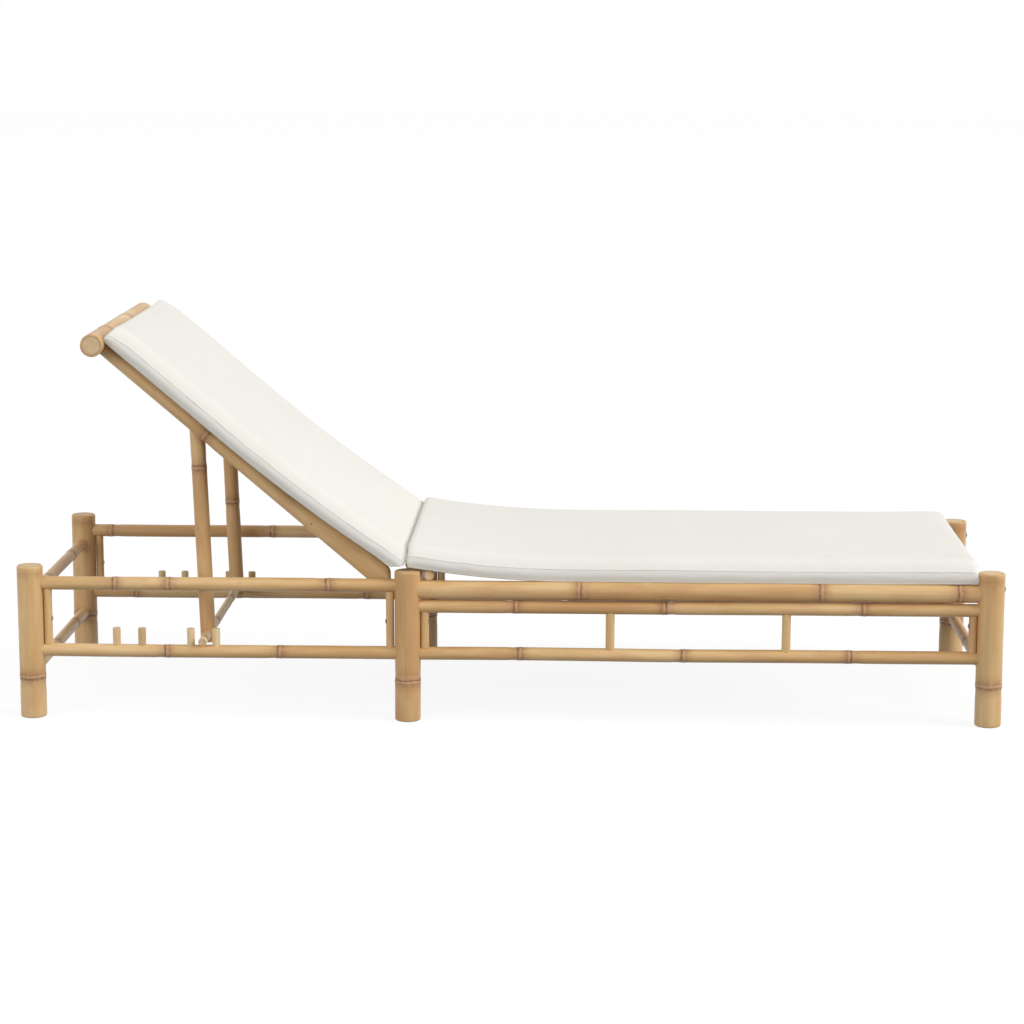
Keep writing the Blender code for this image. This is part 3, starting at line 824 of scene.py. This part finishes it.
def add_prop():
    foot_start, foot_end, foot_radius = node_axis("prop_foot_bar", False)
    add_culm(
        "prop_foot_bar", "prop", foot_start, foot_end, foot_radius,
        slot="pale_bamboo", rings=FOOT_BAR_RINGS, lip=PEG_LIP, seed=FOOT_BAR_SEED,
    )
    low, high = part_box("prop_pivot_bar")
    bar_radius = (high.z - low.z) / 2
    reach = Vector((0, (high.y - low.y) / 2, 0))
    add_culm(
        "prop_pivot_bar", "prop", PROP_PIVOT - reach, PROP_PIVOT + reach, bar_radius,
        rings=PIVOT_BAR_RINGS, lip=PIVOT_BAR_LIP, seed=PIVOT_BAR_SEED,
    )
    foot = (foot_start + foot_end) / 2
    rise = (PROP_PIVOT - foot).normalized()
    for number, side in enumerate(SIDES):
        node = f"prop_leg_{side}"
        low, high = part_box(node)
        radius = ((high.y - low.y) / 2 - CAD_RIDGE) * PROP_GROWTH
        across = Vector((0, (low.y + high.y) / 2, 0))
        start = foot + across - rise * (foot_radius + PROP_TAIL)
        end = PROP_PIVOT + across - rise * bar_radius * SUNK_IN_BAR
        ring = (end - start).length - NEAR_LEG_RING_FROM_TOP if side == "near" else FAR_LEG_RING
        shape = {"rings": (ring,), "sides": RAIL_SIDES, "lip": BAR_LIP, "seed": PROP_LEG_SEED + number}
        add_culm(node, "prop", start, end, radius, **shape)


def spaced(count, length, margin):
    """Places along a length, closer together near both ends."""
    steps = []
    for i in range(count + 1):
        t = i / count
        eased = t - math.sin(2 * math.pi * t) / (2 * math.pi) * GRID_EASING
        steps.append(eased * length)
    for share in MARGIN_LINES:
        steps.extend((margin * share, length - margin * share))
    return thinned(steps, length, CLOSEST_LINES)


def uneven(kind, x, y, seed):
    height, along, across = kind
    return height * noise.noise(Vector((x * along, y * across, seed)))


class Cushion:
    """A boxed cushion in its own frame: x along it, y across it, z out of it.

    under(x) is how far it is held up, and droop(x, y) how far its underside sags. Its end at x = length
    drops by the first value of end_drop over the second, and its top edge at x = 0 leans out by lean.
    """

    def __init__(self, length, width, under, crown, end_drop, seed, lean=0.0, droop=None):
        self.length = length
        self.half = width / 2
        self.under = under
        self.droop = droop
        self.crown = crown
        self.end_drop = end_drop
        self.lean = lean
        self.seed = seed
        self.xs = spaced(int(length / GRID_SPACING), length, END_ROUND)
        lines = spaced(int(width / GRID_SPACING), width, SHOULDER_WIDTH / MARGIN_SHARE)
        self.ys = [y - self.half for y in lines]
        self.points = []
        self.weave = []
        self.faces = []

    def add_point(self, spot, weave):
        self.points.append(tuple(spot))
        self.weave.append(weave)
        return len(self.points) - 1

    def edge_gap(self, x, y):
        return min(x, self.length - x, y + self.half, self.half - y)

    def outline(self, x, y):
        """The outline pulls in a little between the corners."""
        u = 2 * x / self.length - 1
        v = y / self.half
        ripple = uneven(RIPPLE, x, y, self.seed)
        inset_y = DRAW_IN * (1 - u ** 4) * v ** 5
        inset_x = DRAW_IN * (1 - v ** 4) * max(0.0, u) ** 5
        return x - inset_x + ripple * u, y - inset_y + ripple * v

    def top_height(self, x, y):
        inward = min(1.0, (self.half - abs(y)) / SHOULDER_WIDTH)
        shoulder = SHOULDER_HEIGHT * (1 - (1 - inward) ** SHOULDER_POWER)
        middle = (x / self.length - 0.5) * 2
        swell = self.crown * (1 - (y / self.half) ** 2) * (1 - middle ** 4)
        drop, stretch = self.end_drop
        fall = drop * (1 - smooth_step((self.length - x) / stretch))
        soft = uneven(SOFTNESS, x, y, self.seed)
        pucker = uneven(PUCKER, x, y, self.seed + 9) * math.exp(-self.edge_gap(x, y) / PUCKER_REACH)
        ends = rounding(min(x, self.length - x), END_ROUND) * END_ROUND_SHARE
        return self.under(x) + SIDE_HEIGHT + (shoulder + swell + soft + pucker - fall - ends)

    def low_height(self, x, y):
        sag = self.droop(x, y) if self.droop else 0.0
        return self.under(x) - sag + rounding(self.edge_gap(x, y), LOW_ROUND)

    def add_surface(self, height, lean):
        """A grid of points, as rows along x of places across y."""
        grid = []
        for x in self.xs:
            reach = lean * (1 - smooth_step(x / LEAN_REACH))
            row = []
            for y in self.ys:
                along, across = self.outline(x, y)
                row.append(self.add_point((along - reach, across, height(x, y)), (x, y, 0.0)))
            grid.append(row)
        return grid

    def add_grid_faces(self, top, low):
        for i in range(len(self.xs) - 1):
            for j in range(len(self.ys) - 1):
                corners = ((i, j), (i + 1, j), (i + 1, j + 1), (i, j + 1))
                self.faces.append(tuple(top[a][b] for a, b in corners))
                self.faces.append(tuple(low[a][b] for a, b in reversed(corners)))

    def rim(self):
        """The grid's edge, once round, with each point's distance round it and its way out."""
        nx = len(self.xs) - 1
        ny = len(self.ys) - 1
        edge = [(i, 0) for i in range(nx)] + [(nx, j) for j in range(ny)]
        edge += [(i, ny) for i in range(nx, 0, -1)] + [(0, j) for j in range(ny, 0, -1)]
        runs = [0.0]
        for (i, j), (k, m) in zip(edge, edge[1:]):
            runs.append(runs[-1] + abs(self.xs[k] - self.xs[i]) + abs(self.ys[m] - self.ys[j]))
        ways = [Vector(((i == nx) - (i == 0), (j == ny) - (j == 0), 0)).normalized() for i, j in edge]
        return edge, runs, ways

    def add_gusset_row(self, lows, highs, share, runs, ways):
        made = []
        for low, high, run, way in zip(lows, highs, runs, ways):
            bulge = GUSSET_BULGE * math.sin(math.pi * share)
            bulge += uneven(GUSSET_WAVES, run, share, self.seed + 3)
            spot = Vector(self.points[low]).lerp(Vector(self.points[high]), share) + way * bulge
            made.append(self.add_point(spot, (run, share * SIDE_HEIGHT, 0.0)))
        return made

    def add_welt(self, path, runs, ways):
        """A fine sewn welt that runs right round the cushion along one of its edges."""
        loops = []
        for i, run, way in zip(path, runs, ways):
            loop = []
            for k in range(WELT_SIDES):
                angle = 2 * math.pi * k / WELT_SIDES
                out = way * math.cos(angle) + Vector((0, 0, math.sin(angle)))
                spot = Vector(self.points[i]) + out * WELT_RADIUS
                loop.append(self.add_point(spot, (run, angle * WELT_RADIUS, 0.0)))
            loops.append(loop)
        for before, after in zip(loops, loops[1:] + loops[:1]):
            self.faces.extend(quad[::-1] for quad in band(before, after))

    def mesh(self, name):
        top = self.add_surface(self.top_height, self.lean)
        low = self.add_surface(self.low_height, 0.0)
        self.add_grid_faces(top, low)
        edge, runs, ways = self.rim()
        lows = [low[i][j] for i, j in edge]
        highs = [top[i][j] for i, j in edge]
        shares = [row / GUSSET_ROWS for row in range(1, GUSSET_ROWS)]
        rows = [lows, *(self.add_gusset_row(lows, highs, share, runs, ways) for share in shares), highs]
        for lower, upper in zip(rows, rows[1:]):
            self.faces.extend(band(lower, upper))
        cloth_faces = len(self.faces)
        for path in (lows, highs):
            self.add_welt(path, runs, ways)
        mesh = make_mesh(name, self.points, self.faces, (CLOTH, THREAD), cloth_faces, CUSHION_SHARP_DEGREES)
        store_vectors(mesh, "weave", self.weave)
        return mesh


def bent_rise(distance, bend, rise):
    """How far a stiff cushion is held up near its end, as a bending beam is."""
    if distance >= bend:
        return 0.0
    return rise * (1 - distance / bend) ** 2


def add_seat_cushion():
    """The seat cushion bends up over the head slat, and its long edges droop past the rails."""
    low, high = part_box("seat_cushion")
    slat_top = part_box("seat_slat_2")[1].z
    head_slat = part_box("seat_head_slat")[1].z - slat_top
    rise = (head_slat + SLAT_GAP) / (1 - (centre("seat_head_slat").x - low.x) / SEAT_BEND) ** 2
    length = high.x - low.x
    width = high.y - low.y - 2 * GUSSET_BULGE
    lift, lift_reach = SEAT_FOOT_LIFT

    def under(x):
        return bent_rise(x, SEAT_BEND, rise) + lift * smooth_step((x - length + lift_reach) / lift_reach)

    def droop(x, y):
        beyond = (abs(y) - (width / 2 - SEAT_DROOP_EDGE)) / SEAT_DROOP_EDGE
        along = (x - SEAT_DROOP_START) / SEAT_DROOP_REACH
        return SEAT_DROOP * smooth_step(along) * smooth_step(beyond)

    cushion = Cushion(length, width, under, SEAT_CROWN, SEAT_END_DROP, SEAT_SEED, droop=droop)
    mesh = cushion.mesh("seat_cushion_cover")
    mesh.transform(Matrix.Translation((low.x, 0, slat_top + REST_GAP)))
    seat = place("seat_cushion_cover", mesh, "frame", ["seat_cushion"], "cream_fabric")


def add_back_cushion():
    """The back cushion leans on the seat cushion, and its foot is kept short of the seat cushion's end."""
    low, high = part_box("back_cushion")
    width = high.y - low.y - 2 * GUSSET_BULGE
    length = HEAD_BAR_DISTANCE - BACK_END_GAP - BACK_START
    slat_low, slat_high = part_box("back_slat_2")
    slat_radius = (slat_high.z - slat_low.z) / 2
    out = (centre("back_slat_2") - HINGE).dot(OUT_OF_BACK) + slat_radius + REST_GAP

    def under(x):
        return bent_rise(x + BACK_START, BACK_BEND, BACK_RISE)

    cushion = Cushion(length, width, under, BACK_CROWN, BACK_END_DROP, BACK_SEED, lean=BACK_LEAN)
    mesh = cushion.mesh("back_cushion_cover")
    turn = Matrix((UP_BACK, Vector((0, -1, 0)), OUT_OF_BACK)).transposed().to_4x4()
    mesh.transform(Matrix.Translation(on_back(BACK_START, 0, out)) @ turn)
    seat_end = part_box("seat_cushion")[0].x - CUSHION_GAP
    for point in mesh.vertices:
        point.co.x = min(point.co.x, seat_end)
    back = add_piece("back_cushion_cover", mesh, ["back_cushion"])
    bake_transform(back)


def add_bolt(name, body, spot, out, radius):
    """A domed bolt head on a thin washer, turned round the way it faces."""
    turn = Vector(out).to_track_quat("Z", "Y").to_matrix()
    points = []
    rows = []
    for wide, high in BOLT_PROFILE:
        rows.append(range(len(points), len(points) + BOLT_SIDES))
        for k in range(BOLT_SIDES):
            angle = 2 * math.pi * k / BOLT_SIDES
            ring = Vector((math.cos(angle) * wide, math.sin(angle) * wide, high)) * radius
            points.append(tuple(spot + turn @ ring))
    faces = [quad for upper, lower in zip(rows, rows[1:]) for quad in band(lower, upper)]
    faces.append(tuple(rows[0]))
    faces.append(tuple(rows[-1])[::-1])
    mesh = make_mesh(name, points, faces, (STEEL,), len(faces), BOLT_SHARP_DEGREES)
    place(name, mesh, body, (), "steel")


def add_post_and_strut_bolts(side):
    """These bolts run along X, through the foot post and the strut beside every post."""
    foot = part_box(f"foot_post_{side}")[1].x - CAD_RIDGE
    height = centre("head_top_rail_near").z + POST_BOLT_RAISED
    spot = Vector((foot, centre(f"foot_post_{side}").y, height))
    add_bolt(f"foot_post_bolt_{side}", "frame", spot, (1, 0, 0), POST_BOLT_RADIUS)
    for strut, way in STRUT_BOLT_WAYS.items():
        low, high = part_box(f"{strut}_{side}")
        x = high.x if way > 0 else low.x
        spot = Vector((x, centre(f"foot_post_{side}").y, STRUT_BOLT_HEIGHT))
        add_bolt(f"{strut}_bolt_{side}", "frame", spot, (way, 0, 0), STRUT_BOLT_RADIUS)


def add_back_screw(side):
    """A small screw on the outer face of a back rail, where its lowest slat ends."""
    outer = -1 if side == "near" else 1
    low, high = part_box(f"back_rail_{side}")
    edge = (low.y if outer < 0 else high.y) - outer * CAD_RIDGE
    distance = (centre("back_slat_1") - HINGE).dot(UP_BACK)
    spot = on_back(distance, edge, SCREW_RAISED)
    add_bolt(f"back_slat_screw_{side}", "backrest", spot, (0, outer, 0), SCREW_RADIUS)


def finish_hinge_bolt(side):
    """A hinge bolt keeps its CAD shape."""
    mesh = frame["nodes"][f"hinge_bolt_{side}"].data
    mesh.materials.clear()
    mesh.materials.append(STEEL)


def add_fasteners():
    for side in SIDES:
        add_post_and_strut_bolts(side)
        add_back_screw(side)
        finish_hinge_bolt(side)


def seen_directly(tree):
    """1 for camera, glossy and transmission rays, and 0 for the light that reaches the object."""
    path = tree.nodes.new("ShaderNodeLightPath")
    total = path.outputs["Is Camera Ray"]
    for name in ("Is Glossy Ray", "Is Transmission Ray"):
        highest = tree.nodes.new("ShaderNodeMath")
        highest.operation = "MAXIMUM"
        tree.links.new(total, highest.inputs[0])
        tree.links.new(path.outputs[name], highest.inputs[1])
        total = highest.outputs[0]
    return total


def add_floor():
    """A floor that looks white and keeps a faint shadow, and throws little light up."""
    s = Shader("floor")
    s.put(s.surface, Base_Color=FLOOR_COLOUR, Roughness=1.0, Specular_IOR_Level=0.0)
    lift = s.maths("MULTIPLY", seen_directly(s.tree), FLOOR_LIFT)
    s.put(s.surface, Emission_Color=WHITE, Emission_Strength=lift)
    bpy.ops.mesh.primitive_plane_add(size=FLOOR_SIZE, location=(0, 0, 0))
    floor = bpy.context.object
    floor.name = "floor"
    floor.data.materials.append(s.material)


def add_world():
    """A world that looks white, and lights the object at its own level."""
    world = bpy.data.worlds.new("studio")
    bpy.context.scene.world = world
    world.use_nodes = True
    tree = world.node_tree
    tree.nodes.clear()
    out = tree.nodes.new("ShaderNodeOutputWorld")
    either = tree.nodes.new("ShaderNodeMixShader")
    tree.links.new(seen_directly(tree), either.inputs["Fac"])
    for number, strength in ((1, WORLD_LEVEL), (2, 1.0)):
        shade = tree.nodes.new("ShaderNodeBackground")
        shade.inputs["Color"].default_value = (1, 1, 1, 1)
        shade.inputs["Strength"].default_value = strength
        tree.links.new(shade.outputs[0], either.inputs[number])
    tree.links.new(either.outputs[0], out.inputs["Surface"])


def add_lamp(name, way, distance, size, level):
    """A round soft lamp; level is what it adds to a white surface that faces it."""
    data = bpy.data.lights.new(name, "AREA")
    data.shape = "DISK"
    data.size = size
    data.energy = level * (math.pi * distance) ** 2
    lamp = bpy.data.objects.new(name, data)
    aim = Vector(way).normalized()
    lamp.location = aim * distance + LAMP_AIM
    lamp.rotation_euler = aim.to_track_quat("Z", "Y").to_euler()
    bpy.context.scene.collection.objects.link(lamp)


add_camera()
add_posts()
add_rails()
add_uprights_and_slats()
add_back_frame()
add_prop()
add_seat_cushion()
add_back_cushion()
add_fasteners()
add_floor()
add_world()
for lamp_settings in LAMPS:
    add_lamp(*lamp_settings)
bpy.context.scene.view_settings.view_transform = "Standard"
